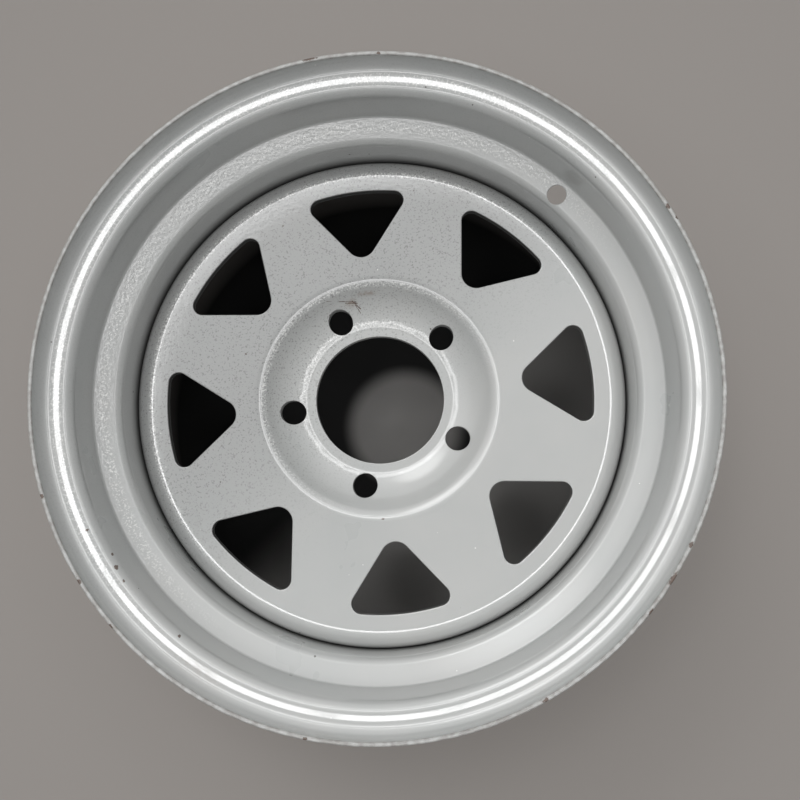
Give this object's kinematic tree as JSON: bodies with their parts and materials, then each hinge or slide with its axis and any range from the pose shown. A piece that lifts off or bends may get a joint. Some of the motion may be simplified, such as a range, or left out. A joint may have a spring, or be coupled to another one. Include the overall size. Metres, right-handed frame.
{
  "type": "steel road wheel",
  "caption": "Painted pressed-steel wheel: rolled drop-centre rim with a welded dished centre, rounded triangular windows, stud holes, plain centre bore and a valve hole.",
  "frame": {"origin": "middle of the hub mounting face on the wheel axis, which is also the middle of the wheel's width", "axes": "+Z along the wheel axis towards the front (outer) side, which faces up as the wheel lies; +X through the middle of one window"},
  "size_m": [0.3893, 0.3894, 0.1784],
  "materials": {
    "paint": "gloss"
  },
  "bodies": {
    "root": {"rim": "paint", "wheel_disc": "paint", "weld_beads": "paint"}
  },
  "joints": []
}
